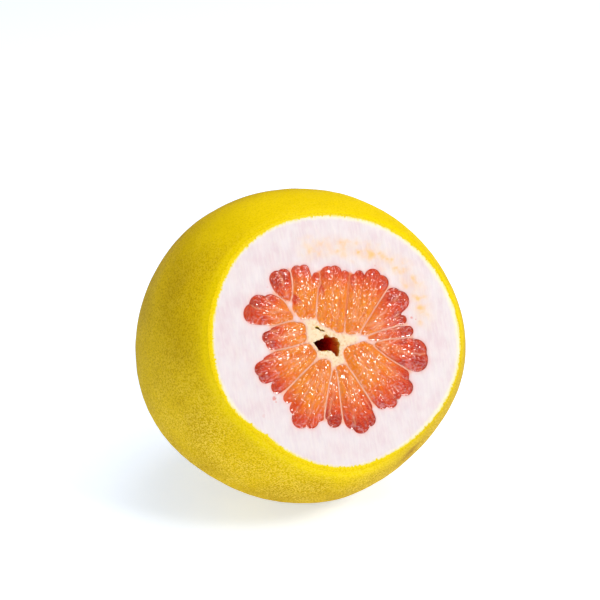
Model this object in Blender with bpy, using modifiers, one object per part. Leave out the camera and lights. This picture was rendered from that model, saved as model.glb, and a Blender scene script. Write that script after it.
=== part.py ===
"""A pink pomelo with its stem end sliced off, resting on its side with the cut facing front and up.

The fruit has axes of its own, in which all of it is modelled: +x to the right as one faces the cut,
+y up across the cut, and +z out of the cut, along the core. An empty then tilts the fruit into place,
with the cut towards -Y and its lowest point, a small flat spot under its weight, at z = 0.

Pieces: the yellow rind, a thin shell; the white pith inside it, with the core and the membranes that
part the segments; and the pulp of each of the 14 segments, a bundle of juice sacs that fan out from
the core and end in round heads against the pith.
"""

import math
from dataclasses import dataclass

import bmesh
import bpy
import numpy as np
from mathutils import Matrix, Vector
from mathutils.geometry import delaunay_2d_cdt

MM = 0.001

# Size of the whole fruit, from its middle
HALF_WIDTH = 75.0 * MM
HALF_HEIGHT = 72.8 * MM
STEM_REACH = 77.0 * MM
BLOSSOM_REACH = 85.0 * MM

# How far the girth leans towards one side as it nears the stem, as shares of the radius
LEAN_RIGHT = 0.029
LEAN_UP = 0.026

# Low swellings round the fruit: (how many, height, bearing) of those that run its whole length
# and of those that turn from hollows at the blossom end to swellings at the stem end
LONG_SWELLINGS = ((2, 0.009, -46.0), (3, 0.007, 11.0), (4, 0.007, -4.0), (5, 0.007, -17.0))
TAPERED_SWELLINGS = ((2, 0.033, -42.0), (3, 0.005, 27.0), (4, 0.004, 35.0), (5, 0.007, -32.0))

# The dimple at the blossom end
DIMPLE_DEPTH = 1.6 * MM
DIMPLE_SPREAD = 0.15

# The slice, and how the fruit lies
CUT_LEVEL = 46.0 * MM
CUT_TILT = 24.0
FRUIT_MIDDLE = Vector((-0.5, -8.4, 75.6)) * MM

# The peel
RIND_THICKNESS = 2.1 * MM
CLEARANCE = 0.3 * MM
RIND_GAP = 0.4 * MM
AROUND, ALONG = 44, 22

# Edges sharper than this stay sharp
SHARP_ANGLE = math.radians(38.0)

# The flesh: membranes, the relief of the sacs, and how the segments swell below the cut
MEMBRANE = 0.7 * MM
OUTLINE_POINTS = 24
SWELL_DEPTHS = (0.0, 18.0 * MM, 50.0 * MM, 82.0 * MM, 99.0 * MM)
SWELLS = (1.0, 1.2, 1.37, 1.14, 0.78)
SAC_BELLY = 1.1 * MM
SAC_BULGE = 0.65
DOME_SPREAD = 0.6
SAC_SINK = 1.7 * MM
ABOVE_CUT = 3.0 * MM

# Where the relief has its points, as shares of a sac's length and radius: on the sac's ridge, round
# its head, in the valley to the next sac and on its flanks; and how close together they may come
RIDGE_STATIONS = (0.08, 0.38, 0.7, 1.0)
HEAD_REACH = 0.62
HEAD_BEARINGS = (0.0, -55.0, 55.0)
VALLEY_STATIONS = (0.3, 0.6, 0.88, 1.08)
FLANK_STATIONS = (0.22, 0.55, 0.88)
FLANK_REACH = 0.75
POINT_SPACING = 0.95 * MM
EDGE_MARGIN = 0.55 * MM

# The open core: a ragged star, in millimetres on the cut face, narrowing as it goes in
CORE_STAR = (
    (-10.0, 1.8), (-4.6, 3.0), (-3.6, 4.9), (-0.8, 2.8), (1.2, 2.0), (2.4, -1.0), (1.2, -5.6),
    (0.0, -6.4), (-2.0, -3.4), (-4.8, -2.9), (-7.8, -2.3), (-8.7, -0.5),
)
CORE_DEPTH = 48.0 * MM
CORE_END_SHARE = 0.62

# The middle of the wheel of segments on the cut face
HUB = np.array((-3.0, 0.0)) * MM

YELLOW_RIND = (0.86, 0.66, 0.02, 1.0)
WHITE_PITH = (0.93, 0.84, 0.80, 1.0)
PINK_PULP = (0.84, 0.22, 0.10, 1.0)


@dataclass(frozen=True)
class Segment:
    """The pulp of one segment on the cut face, in millimetres.

    Its sacs start along the inner edge, beside the core, and end in round heads at the pith.
    Both run clockwise. inner_radius and each head's third number are radii.
    """

    inner: tuple
    inner_radius: float
    heads: tuple

    def sacs(self):
        """(tail, head, tail radius, head radius) of each sac, in metres."""
        first, last = (np.array(end) * MM for end in (self.inner[0], self.inner[-1]))
        steps = max(len(self.heads) - 1, 1)
        for number, (x, y, radius) in enumerate(self.heads):
            tail = first + (last - first) * number / steps
            yield tail, np.array((x, y)) * MM, self.inner_radius * MM, radius * MM

    def middle(self):
        """A point well inside the segment, which every point of its outline can be seen from."""
        tails, heads = zip(*((tail, head) for tail, head, _, _ in self.sacs()))
        return 0.42 * np.mean(tails, axis=0) + 0.58 * np.mean(heads, axis=0)


# The 14 segments, clockwise from the left
SEGMENTS = (
    Segment(((-15.2, 5.0), (-15.0, 8.8)), 2.7, ((-28.6, 4.8, 3.2), (-30.3, 7.3, 2.7), (-26.5, 8.6, 2.8))),
    Segment(
        ((-19.0, 14.6), (-19.6, 16.2)), 1.7,
        ((-31.5, 16.8, 3.4), (-35.2, 18.6, 4.6), (-32.3, 21.9, 4.4), (-26.8, 21.9, 3.9)),
    ),
    Segment(((-18.5, 22.8),), 1.5, ((-22.0, 31.9, 3.6), (-18.9, 32.3, 3.6))),
    Segment(
        ((-12.7, 15.6), (-8.8, 15.0)), 2.8,
        ((-14.0, 21.0, 2.6), (-12.4, 33.7, 2.7), (-9.0, 33.8, 2.5), (-3.9, 30.2, 1.9)),
    ),
    Segment(
        ((-3.4, 11.4), (3.4, 6.6)), 2.7,
        ((-2.6, 24.0, 2.6), (1.8, 30.4, 3.6), (5.2, 30.6, 3.2), (9.6, 28.8, 2.2)),
    ),
    Segment(
        ((8.4, 5.4), (12.2, 5.2)), 2.9,
        ((13.6, 26.4, 2.3), (16.4, 27.6, 2.4), (22.6, 25.8, 4.0), (26.2, 22.9, 3.6)),
    ),
    Segment(
        ((14.6, 3.2),), 2.0,
        ((31.0, 15.6, 4.4), (33.8, 13.6, 4.6), (31.2, 8.6, 2.6), (33.8, 5.2, 2.0)),
    ),
    Segment(((17.2, -0.3),), 1.1, ((31.5, 1.4, 1.8), (35.9, -0.3, 2.3))),
    Segment(
        ((20.4, -4.8),), 1.9,
        ((32.2, -5.2, 2.4), (38.0, -9.6, 5.2), (37.8, -13.6, 5.4), (30.6, -13.0, 2.6)),
    ),
    Segment(
        ((13.2, -4.8), (6.6, -5.8)), 3.4,
        (
            (29.6, -19.4, 3.4), (30.2, -24.9, 3.7), (25.4, -27.0, 2.6),
            (22.3, -29.9, 3.0), (17.9, -29.6, 3.0),
        ),
    ),
    Segment(
        ((2.2, -12.0), (0.8, -12.0)), 2.1,
        ((10.6, -30.6, 2.5), (10.6, -36.0, 3.2), (6.4, -37.4, 4.2), (2.6, -35.2, 3.6)),
    ),
    Segment(((-1.8, -12.6),), 1.2, ((-4.4, -25.0, 2.2), (-5.6, -33.4, 3.4), (-7.6, -30.5, 2.6))),
    Segment(
        ((-5.8, -8.8), (-7.6, -8.6)), 2.6,
        (
            (-12.4, -30.2, 2.8), (-16.4, -31.6, 3.7), (-21.0, -30.2, 4.2),
            (-22.6, -25.2, 2.9), (-25.4, -20.2, 2.3),
        ),
    ),
    Segment(
        ((-11.6, -3.2), (-13.0, -0.8)), 2.6,
        ((-29.4, -14.6, 3.0), (-34.0, -9.0, 3.4), (-35.4, -5.8, 3.3), (-31.4, -3.4, 3.0)),
    ),
)


def clear_scene():
    """Remove what the file opened with."""
    for thing in list(bpy.data.objects):
        bpy.data.objects.remove(thing, do_unlink=True)
    for mesh in list(bpy.data.meshes):
        bpy.data.meshes.remove(mesh)


def new_collection(name):
    """A collection in the scene."""
    made = bpy.data.collections.new(name)
    bpy.context.scene.collection.children.link(made)
    return made


def new_material(name, colour, roughness):
    """A plain Principled BSDF in the part's colour."""
    made = bpy.data.materials.new(name)
    made.use_nodes = True
    shader = made.node_tree.nodes["Principled BSDF"]
    shader.inputs["Base Color"].default_value = colour
    shader.inputs["Roughness"].default_value = roughness
    shader.inputs["Metallic"].default_value = 0.0
    made.diffuse_color = colour
    return made


def new_object(name, shape, collection, material=None):
    """An object made of a bmesh, which is freed."""
    mesh = bpy.data.meshes.new(name)
    bmesh.ops.recalc_face_normals(shape, faces=shape.faces)
    shape.to_mesh(mesh)
    shape.free()
    made = bpy.data.objects.new(name, mesh)
    collection.objects.link(made)
    if material:
        mesh.materials.append(material)
    else:
        made.hide_render = True
        made.display_type = "WIRE"
    return made


def skin_radius(direction):
    """How far the skin is from the fruit's middle along a unit vector in the fruit's axes."""
    x, y, z = direction
    reach = STEM_REACH if z > 0 else BLOSSOM_REACH
    egg = ((x / HALF_WIDTH) ** 2 + (y / HALF_HEIGHT) ** 2 + (z / reach) ** 2) ** -0.5
    bearing = math.atan2(y, x)
    girth = x * x + y * y
    swelling = LEAN_RIGHT * x * z + LEAN_UP * y * z
    for count, height, peak in LONG_SWELLINGS:
        swelling += girth * height * math.cos(count * (bearing - math.radians(peak)))
    for count, height, peak in TAPERED_SWELLINGS:
        swelling += girth * z * height * math.cos(count * (bearing - math.radians(peak)))
    from_blossom_end = math.acos(max(-1.0, min(1.0, -z)))
    dimple = DIMPLE_DEPTH * math.exp(-((from_blossom_end / DIMPLE_SPREAD) ** 2))
    return egg * (1.0 + swelling) - dimple


def fruit_shape(inset):
    """The whole fruit, not cut yet, as a closed surface that lies inset below the skin."""
    shape = bmesh.new()
    bmesh.ops.create_uvsphere(shape, u_segments=AROUND, v_segments=ALONG, radius=1.0)
    for vertex in shape.verts:
        direction = vertex.co.normalized()
        vertex.co = direction * (skin_radius(direction) - inset)
    return shape


def block(name, low, high, collection, placement=None):
    """A box from one corner to the other, as a cutter."""
    shape = bmesh.new()
    bmesh.ops.create_cube(shape, size=1.0)
    for vertex in shape.verts:
        share = vertex.co + Vector((0.5, 0.5, 0.5))
        vertex.co = Vector(low) + Vector(b * s for b, s in zip(Vector(high) - Vector(low), share))
    if placement:
        bmesh.ops.transform(shape, matrix=placement, verts=shape.verts)
    return new_object(name, shape, collection)


def cut(target, cutter):
    """Take a cutter, or every object of a collection, out of the target."""
    boolean = target.modifiers.new("cut by " + cutter.name, "BOOLEAN")
    boolean.operation = "DIFFERENCE"
    boolean.solver = "EXACT"
    if isinstance(cutter, bpy.types.Collection):
        boolean.operand_type = "COLLECTION"
        boolean.collection = cutter
    else:
        boolean.object = cutter


def sac_measures(points, segment, belly=0.0):
    """For each sac of a segment: (distance from its axis, its radius there) at every point."""
    for tail, head, tail_radius, head_radius in segment.sacs():
        run = head - tail
        share = np.clip((points - tail) @ run / (run @ run), 0.0, 1.0)
        away = np.linalg.norm(points - tail - share[:, None] * run, axis=1)
        widening = belly * 4.0 * share * (1.0 - share)
        yield away, tail_radius + share * (head_radius - tail_radius) + widening


def depth_outside(points, segment):
    """How far each point lies outside the nearest sac of a segment; below zero inside it."""
    return np.min([away - radius for away, radius in sac_measures(points, segment, SAC_BELLY)], axis=0)


def relief(points, segment):
    """How high the sacs stand at each point."""
    domes = [radius - away * away / (DOME_SPREAD * radius) for away, radius in sac_measures(points, segment)]
    return SAC_BULGE * np.clip(np.max(domes, axis=0), 0.0, None)


def belongs(points, segment):
    """Which points lie in a segment's sacs, clear of the membranes to its neighbours."""
    own = depth_outside(points, segment)
    others = np.min([depth_outside(points, other) for other in SEGMENTS if other is not segment], axis=0)
    return (own < 0.0) & (others - own > MEMBRANE + 2.0 * CLEARANCE)


def evenly_spaced(loop, count):
    """count points spaced evenly along a closed loop of points."""
    closed = np.vstack([loop, loop[:1]])
    run = np.concatenate([[0.0], np.cumsum(np.linalg.norm(np.diff(closed, axis=0), axis=1))])
    stops = np.linspace(0.0, run[-1], count, endpoint=False)
    return np.stack([np.interp(stops, run, closed[:, axis]) for axis in (0, 1)], axis=1)


def pulp_outline(segment):
    """The outline of a segment's pulp on the cut face, found along rays from its middle."""
    middle = segment.middle()
    turns = np.radians(np.arange(0.0, 360.0, 2.0))
    rays = np.stack([np.cos(turns), np.sin(turns)], axis=1)
    reach = np.zeros(len(rays))
    growing = np.full(len(rays), True)
    step = 0.05 * MM
    while growing.any():
        growing &= belongs(middle + (reach + step)[:, None] * rays, segment)
        reach = np.where(growing, reach + step, reach)
    return evenly_spaced(middle + reach[:, None] * rays, OUTLINE_POINTS)


def drawn_in(outline, distance):
    """A counterclockwise outline with each of its sides moved inwards by a distance."""
    ahead = np.roll(outline, -1, axis=0) - outline
    ahead /= np.linalg.norm(ahead, axis=1)[:, None]
    inwards = np.stack([-ahead[:, 1], ahead[:, 0]], axis=1)
    both = inwards + np.roll(inwards, 1, axis=0)
    return outline + both * (2.0 * distance / (both * both).sum(axis=1))[:, None]


def room_inside(point, outline):
    """How far a point is inside an outline, or below zero where it lies outside."""
    ahead = np.roll(outline, -1, axis=0)
    run = ahead - outline
    share = np.clip(((point - outline) * run).sum(axis=1) / (run * run).sum(axis=1), 0.0, 1.0)
    away = np.linalg.norm(point - outline - share[:, None] * run, axis=1).min()
    spans = (outline[:, 1] > point[1]) != (ahead[:, 1] > point[1])
    slope = run[spans, 0] / run[spans, 1]
    crossings = outline[spans, 0] + (point[1] - outline[spans, 1]) * slope
    inside = np.count_nonzero(crossings > point[0]) % 2 == 1
    return away if inside else -away


def sac_points(segment):
    """The places that a segment's relief is to pass through, the most telling ones first."""
    sacs = list(segment.sacs())
    for tail, head, _, _ in sacs:
        for station in RIDGE_STATIONS:
            yield tail + station * (head - tail)
    for (tail, head, _, _), (next_tail, next_head, _, _) in zip(sacs, sacs[1:]):
        for station in VALLEY_STATIONS:
            yield (tail + next_tail + station * (head - tail + next_head - next_tail)) / 2.0
    for tail, head, tail_radius, head_radius in sacs:
        along = (head - tail) / np.linalg.norm(head - tail)
        sideways = np.array((-along[1], along[0]))
        for bearing in map(math.radians, HEAD_BEARINGS):
            outwards = math.cos(bearing) * along + math.sin(bearing) * sideways
            yield head + HEAD_REACH * head_radius * outwards
        for station in FLANK_STATIONS:
            reach = FLANK_REACH * (tail_radius + station * (head_radius - tail_radius))
            yield tail + station * (head - tail) - reach * sideways
            yield tail + station * (head - tail) + reach * sideways


def relief_points(segment, outline):
    """The places of the relief that lie inside an outline, none too close to another."""
    kept = []
    for point in sac_points(segment):
        spaced = all(np.linalg.norm(point - other) > POINT_SPACING for other in kept)
        if spaced and room_inside(point, outline) > EDGE_MARGIN:
            kept.append(point)
    return np.array(kept)


def loft(sections, top=None):
    """A closed shape through sections of equally many points.

    top holds the points that a surface over the last section passes through; without it,
    a flat face closes that section.
    """
    shape = bmesh.new()
    loops = [[shape.verts.new(point) for point in section] for section in sections]
    for lower, upper in zip(loops, loops[1:]):
        for number in range(len(lower)):
            after = (number + 1) % len(lower)
            shape.faces.new((lower[number], lower[after], upper[after], upper[number]))
    shape.faces.new(reversed(loops[0]))
    if top is None:
        shape.faces.new(loops[-1])
        return shape
    corners = loops[-1] + [shape.verts.new(point) for point in top]
    flat = [Vector(corner.co[:2]) for corner in corners]
    rim = list(range(len(loops[-1])))
    triangles = delaunay_2d_cdt(flat, [], [rim], 1, 1e-7)[2]
    for triangle in triangles:
        shape.faces.new([corners[number] for number in triangle])
    return shape


def at_level(flat, level):
    """Points on the cut face, moved to a level or levels along the core."""
    return np.column_stack([flat, np.broadcast_to(level, len(flat))])


def buried_sections(outline, start, end):
    """A segment's sections from its end near the blossom up to its start, as depths below the cut."""
    depths = [end, *(depth for depth in reversed(SWELL_DEPTHS) if start < depth < end), start]
    swells = np.interp(depths, SWELL_DEPTHS, SWELLS)
    return [at_level(HUB + (outline - HUB) * s, CUT_LEVEL - d) for d, s in zip(depths, swells)]


def add_pockets(collection):
    """The spaces in the pith that the segments fill."""
    for number, segment in enumerate(SEGMENTS, 1):
        outline = drawn_in(pulp_outline(segment), -CLEARANCE)
        sections = buried_sections(outline, 0.0, SWELL_DEPTHS[-1])
        sections.append(at_level(outline, CUT_LEVEL + ABOVE_CUT))
        new_object(f"pocket_{number:02d}", loft(sections), collection)


def add_core_hollow(collection):
    """The hollow down the middle of the core."""
    star = np.array(CORE_STAR) * MM
    sections = [
        at_level(HUB + (star - HUB) * CORE_END_SHARE, CUT_LEVEL - CORE_DEPTH),
        at_level(star, CUT_LEVEL),
        at_level(star, CUT_LEVEL + ABOVE_CUT),
    ]
    new_object("core_hollow", loft(sections), collection)


def add_rind(collection, material, knife, table):
    """The yellow skin, a shell that is open at the slice and flat where the fruit rests."""
    rind = new_object("rind", fruit_shape(0.0), collection, material)
    wall = rind.modifiers.new("thickness", "SOLIDIFY")
    wall.thickness = RIND_THICKNESS
    wall.offset = -1.0
    wall.use_even_offset = True
    cut(rind, knife)
    cut(rind, table)
    return rind


def add_pith(collection, material, knife, hollows):
    """The white pith, with the membranes and the core, which the segments sit in."""
    inset = RIND_THICKNESS + RIND_GAP
    pith = new_object("pith", fruit_shape(inset), collection, material)
    cut(pith, knife)
    cut(pith, hollows)
    return pith


def add_segment(number, segment, collection, material):
    """The pulp of one segment: its buried sides, and the relief of its sacs on the cut face."""
    outline = pulp_outline(segment)
    sections = buried_sections(outline, SAC_SINK, SWELL_DEPTHS[-1] - CLEARANCE)
    places = relief_points(segment, sections[-1][:, :2])
    top = at_level(places, CUT_LEVEL - SAC_SINK + relief(places, segment))
    return new_object(f"segment_{number:02d}", loft(sections, top), collection, material)


def finish(thing):
    """Make a piece's modifiers part of its mesh, and shade it smooth between its sharp edges."""
    graph = bpy.context.evaluated_depsgraph_get()
    thing.data = bpy.data.meshes.new_from_object(thing.evaluated_get(graph))
    thing.modifiers.clear()
    thing.data.shade_smooth()
    thing.data.set_sharp_from_angle(angle=SHARP_ANGLE)


def main():
    """Build the pomelo."""
    clear_scene()
    parts = new_collection("pomelo")
    cutters = new_collection("cutters")
    hollows = bpy.data.collections.new("hollows")
    cutters.children.link(hollows)

    fruit = bpy.data.objects.new("fruit_axes", None)
    parts.objects.link(fruit)
    fruit.rotation_euler = (math.radians(90.0 - CUT_TILT), 0.0, 0.0)
    fruit.location = FRUIT_MIDDLE

    far = 2.0 * BLOSSOM_REACH
    knife = block("knife", (-far, -far, CUT_LEVEL), (far, far, far), cutters)
    to_fruit = (Matrix.Translation(FRUIT_MIDDLE) @ fruit.rotation_euler.to_matrix().to_4x4()).inverted()
    table = block("table", (-far, -far, -far), (far, far, 0.0), cutters, to_fruit)
    add_pockets(hollows)
    add_core_hollow(hollows)

    peel_yellow = new_material("rind yellow", YELLOW_RIND, 0.45)
    pith_white = new_material("pith white", WHITE_PITH, 0.7)
    pulp_pink = new_material("pulp pink", PINK_PULP, 0.25)
    pieces = [add_rind(parts, peel_yellow, knife, table), add_pith(parts, pith_white, knife, hollows)]
    for number, segment in enumerate(SEGMENTS, 1):
        pieces.append(add_segment(number, segment, parts, pulp_pink))
    for piece in pieces:
        finish(piece)
    for thing in [*pieces, *cutters.all_objects]:
        thing.parent = fruit


main()
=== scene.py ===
"""The looks of a pink pomelo that lies on its side with its stem end sliced off.

The fruit has axes of its own, in which its pieces are modelled: +x to the right as one faces the
cut, +y up across the cut, and +z out of the cut, along the core. Every piece is then tilted into
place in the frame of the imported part, whose solids it stands for: the rind, the pith with its
membranes and core, and the pulp of each of the 14 segments.
"""

import logging
import math
from dataclasses import dataclass, field
from enum import Enum

import bpy
import numpy as np
from mathutils import Euler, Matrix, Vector
from mathutils.geometry import delaunay_2d_cdt


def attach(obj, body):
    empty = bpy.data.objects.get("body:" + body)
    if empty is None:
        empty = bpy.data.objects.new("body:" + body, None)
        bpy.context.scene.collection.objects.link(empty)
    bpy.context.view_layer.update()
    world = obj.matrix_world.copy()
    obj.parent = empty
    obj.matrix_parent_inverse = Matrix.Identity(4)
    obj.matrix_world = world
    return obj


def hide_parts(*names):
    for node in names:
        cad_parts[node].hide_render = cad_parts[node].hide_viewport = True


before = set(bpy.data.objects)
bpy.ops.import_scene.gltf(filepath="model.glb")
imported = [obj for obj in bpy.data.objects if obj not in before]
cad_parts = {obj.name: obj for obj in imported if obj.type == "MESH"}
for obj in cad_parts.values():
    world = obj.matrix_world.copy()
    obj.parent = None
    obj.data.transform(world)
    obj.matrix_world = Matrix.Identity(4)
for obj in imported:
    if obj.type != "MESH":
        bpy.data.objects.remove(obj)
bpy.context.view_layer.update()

MM = 0.001
LOG = logging.getLogger("pomelo")
Array = np.ndarray
Socket = bpy.types.NodeSocket

# Low swellings round the fruit: (how many, height, bearing) of those that run its whole length
# and of those that turn from hollows at the blossom end to swellings at the stem end
LONG_SWELLINGS = ((2, 0.009, -46.0), (3, 0.007, 11.0), (4, 0.007, -4.0), (5, 0.007, -17.0))
TAPERED_SWELLINGS = ((2, 0.033, -42.0), (3, 0.005, 27.0), (4, 0.004, 35.0), (5, 0.007, -32.0))

# How many plane waves are laid over each other in a pattern of ripples
WAVES = 14

# The middle of the wheel of segments on the cut face
HUB = np.array((-3.0, 0.0)) * MM

# How the segments swell below the cut, at depths below it
SWELL_DEPTHS = (0.0, 18.0 * MM, 50.0 * MM, 82.0 * MM, 98.7 * MM)
SWELLS = (1.0, 1.2, 1.37, 1.14, 0.78)


def tone(red: float, green: float, blue: float) -> tuple[float, float, float, float]:
    """A colour for a shader, from the 0 to 255 values that a picture of it shows.

    Args:
        red: How red the picture of it is.
        green: How green.
        blue: How blue.

    Returns:
        The linear colour, with full opacity.
    """
    shares = (value / 255.0 for value in (red, green, blue))
    linear = [s / 12.92 if s <= 0.04045 else ((s + 0.055) / 1.055) ** 2.4 for s in shares]
    return (*linear, 1.0)


def eased(value: Array, low: float, high: float) -> Array:
    """A smooth step from 0 at low to 1 at high."""
    share = np.clip((value - low) / (high - low), 0.0, 1.0)
    return share * share * (3.0 - 2.0 * share)


def bell(distance: Array, spread: float) -> Array:
    """A soft spot's strength, 1 in its middle and fading over its spread."""
    return np.exp(-((distance / spread) ** 2))


def ripples(points: Array, length: float, seed: int) -> Array:
    """Smooth ups and downs of no fixed pattern, mostly between -1 and 1.

    Args:
        points: Where to read them, in two or three coordinates.
        length: About how far apart the ups are.
        seed: Picks the pattern.

    Returns:
        The height at each point.
    """
    draw = np.random.default_rng(seed)
    ways = draw.normal(size=(WAVES, points.shape[1]))
    ways /= np.linalg.norm(ways, axis=1)[:, None]
    lengths = length * draw.uniform(0.7, 1.6, WAVES)
    starts = draw.uniform(0.0, math.tau, WAVES)
    return np.sin(points @ (ways / lengths[:, None]).T * math.tau + starts).sum(axis=1) / math.sqrt(WAVES)


def evenly_spaced(loop: Array, count: int) -> Array:
    """Points spaced evenly along a closed loop.

    Args:
        loop: The loop's points.
        count: How many points to place.

    Returns:
        The new points.
    """
    closed = np.vstack([loop, loop[:1]])
    run = np.concatenate([[0.0], np.cumsum(np.linalg.norm(np.diff(closed, axis=0), axis=1))])
    stops = np.linspace(0.0, run[-1], count, endpoint=False)
    return np.stack([np.interp(stops, run, closed[:, axis]) for axis in range(loop.shape[1])], axis=1)


def drawn_in(outline: Array, distance: float | Array) -> Array:
    """A counterclockwise outline with each of its sides moved inwards.

    Args:
        outline: The outline's points.
        distance: How far in, or out where it is below zero, for all points or each.

    Returns:
        The moved outline.
    """
    ahead = np.roll(outline, -1, axis=0) - outline
    ahead /= np.linalg.norm(ahead, axis=1)[:, None]
    inwards = np.stack([-ahead[:, 1], ahead[:, 0]], axis=1)
    both = inwards + np.roll(inwards, 1, axis=0)
    both /= np.maximum(np.linalg.norm(both, axis=1), 0.2)[:, None]
    return outline + both * distance


def distance_to(points: Array, outline: Array, closed: bool = True) -> Array:
    """How far each point is from an outline.

    Args:
        points: The points, on the cut face.
        outline: The outline's points.
        closed: Whether it runs back to its start.

    Returns:
        The distances.
    """
    ends = np.roll(outline, -1, axis=0) if closed else outline[1:]
    nearest = np.full(len(points), np.inf)
    for start, end in zip(outline, ends):
        run = end - start
        share = np.clip((points - start) @ run / (run @ run), 0.0, 1.0)
        nearest = np.minimum(nearest, np.linalg.norm(points - start - share[:, None] * run, axis=1))
    return nearest


def inside(points: Array, outline: Array) -> Array:
    """Which points lie within a closed outline.

    Args:
        points: The points, on the cut face.
        outline: The outline's points.

    Returns:
        True for each point within it.
    """
    crossings = np.zeros(len(points), dtype=int)
    for start, end in zip(outline, np.roll(outline, -1, axis=0)):
        spans = (start[1] > points[:, 1]) != (end[1] > points[:, 1])
        if spans.any():
            slope = (end[0] - start[0]) / (end[1] - start[1])
            crossings += spans & (start[0] + (points[:, 1] - start[1]) * slope > points[:, 0])
    return crossings % 2 == 1


@dataclass(frozen=True)
class FruitForm:
    """The shape of the whole fruit, its slice and how it lies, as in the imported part."""

    half_width: float = 75.0 * MM
    half_height: float = 72.8 * MM
    stem_reach: float = 77.0 * MM
    blossom_reach: float = 85.0 * MM
    lean_right: float = 0.029
    lean_up: float = 0.026
    dimple_depth: float = 1.6 * MM
    dimple_spread: float = 0.15
    cut_level: float = 46.0 * MM
    cut_tilt: float = 24.0
    middle: tuple[float, float, float] = (-0.5 * MM, -8.4 * MM, 75.6 * MM)
    # Where the pith's rim leaves an even width of rind: (bearing, spread, how much further in).
    # Only surfaces deeper than bent_below bend with it, growing towards the cut by bend_power.
    rim_bends: tuple = (
        (-162.0, 12.0, -0.8 * MM), (-154.0, 4.5, -0.4 * MM), (-136.0, 6.0, 0.5 * MM),
        (-48.0, 19.0, -0.45 * MM), (5.0, 60.0, -1.05 * MM), (85.0, 30.0, -0.6 * MM),
    )
    bent_below: float = 1.0 * MM
    bend_power: int = 16

    def skin_radius(self, directions: Array) -> Array:
        """How far the skin is from the fruit's middle.

        Args:
            directions: Unit vectors in the fruit's axes.

        Returns:
            The radius along each.
        """
        x, y, z = directions.T
        reach = np.where(z > 0.0, self.stem_reach, self.blossom_reach)
        egg = ((x / self.half_width) ** 2 + (y / self.half_height) ** 2 + (z / reach) ** 2) ** -0.5
        bearing = np.arctan2(y, x)
        girth = x * x + y * y
        swelling = self.lean_right * x * z + self.lean_up * y * z
        for count, height, peak in LONG_SWELLINGS:
            swelling += girth * height * np.cos(count * (bearing - math.radians(peak)))
        for count, height, peak in TAPERED_SWELLINGS:
            swelling += girth * z * height * np.cos(count * (bearing - math.radians(peak)))
        from_blossom_end = np.arccos(np.clip(-z, -1.0, 1.0))
        return egg * (1.0 + swelling) - self.dimple_depth * bell(from_blossom_end, self.dimple_spread)

    def surface(self, polar: Array, bearings: Array, inset: float | Array) -> Array:
        """Points below the skin.

        Args:
            polar: Angle of each point from the blossom end, in radians.
            bearings: Bearing of each point about the core, in radians.
            inset: How far below the skin, for all points or each.

        Returns:
            The points in the fruit's axes.
        """
        flat = np.sin(polar)
        ways = np.stack([flat * np.cos(bearings), flat * np.sin(bearings), -np.cos(polar)], axis=1)
        return ways * (self.skin_radius(ways) - inset)[:, None]

    def cut_angles(self, bearings: Array, inset: float | Array) -> Array:
        """Angles from the blossom end at which a surface below the skin meets the cut.

        Args:
            bearings: Bearings about the core, in radians.
            inset: How far below the skin the surface lies.

        Returns:
            The angle at each bearing.
        """
        low = np.full(len(bearings), math.radians(95.0))
        high = np.full(len(bearings), math.radians(165.0))
        for _ in range(40):
            middle = (low + high) / 2.0
            over = self.surface(middle, bearings, inset)[:, 2] > self.cut_level
            low, high = np.where(over, low, middle), np.where(over, middle, high)
        return (low + high) / 2.0

    def bowl(self, columns: int, rows: int, inset: float) -> Array:
        """A surface below the skin, from the blossom end up to the cut.

        Args:
            columns: How many points round the fruit.
            rows: How many loops of them.
            inset: How far below the skin.

        Returns:
            Its points, as rows of columns, without the point at the blossom end.
        """
        bearings = np.linspace(-math.pi, math.pi, columns, endpoint=False)
        bend = np.zeros(columns)
        if inset > self.bent_below:
            for bearing, spread, depth in self.rim_bends:
                bend += depth * bell(np.degrees(bearings) - bearing, spread)
        last = self.cut_angles(bearings, inset + bend)
        return np.stack([
            self.surface(last * share, bearings, inset + bend * share**self.bend_power)
            for share in np.arange(1, rows + 1) / rows
        ])

    def turn(self) -> Euler:
        """How the fruit's axes are tilted in the part's frame."""
        return Euler((math.radians(90.0 - self.cut_tilt), 0.0, 0.0))

    def placed(self, points: Array) -> Array:
        """Points of the fruit as it lies on the floor.

        Args:
            points: Points in the fruit's axes.

        Returns:
            The points in the part's frame, none below the floor.
        """
        lying = points @ np.array(self.turn().to_matrix()).T + self.middle
        lying[:, 2] = np.maximum(lying[:, 2], 0.0)
        return lying


FORM = FruitForm()


class Texture(Enum):
    """How the small sacs of a segment show on the cut.

    Each gives their smallest and largest radius, their shortest and longest length, all in
    millimetres, and how many there are on a square millimetre.
    """

    LONG = (0.7, 1.5, 2.0, 8.0, 0.26)
    SPECKLED = (0.5, 1.1, 0.6, 3.2, 0.6)
    SMOOTH = (0.9, 2.2, 3.0, 9.0, 0.15)


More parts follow.
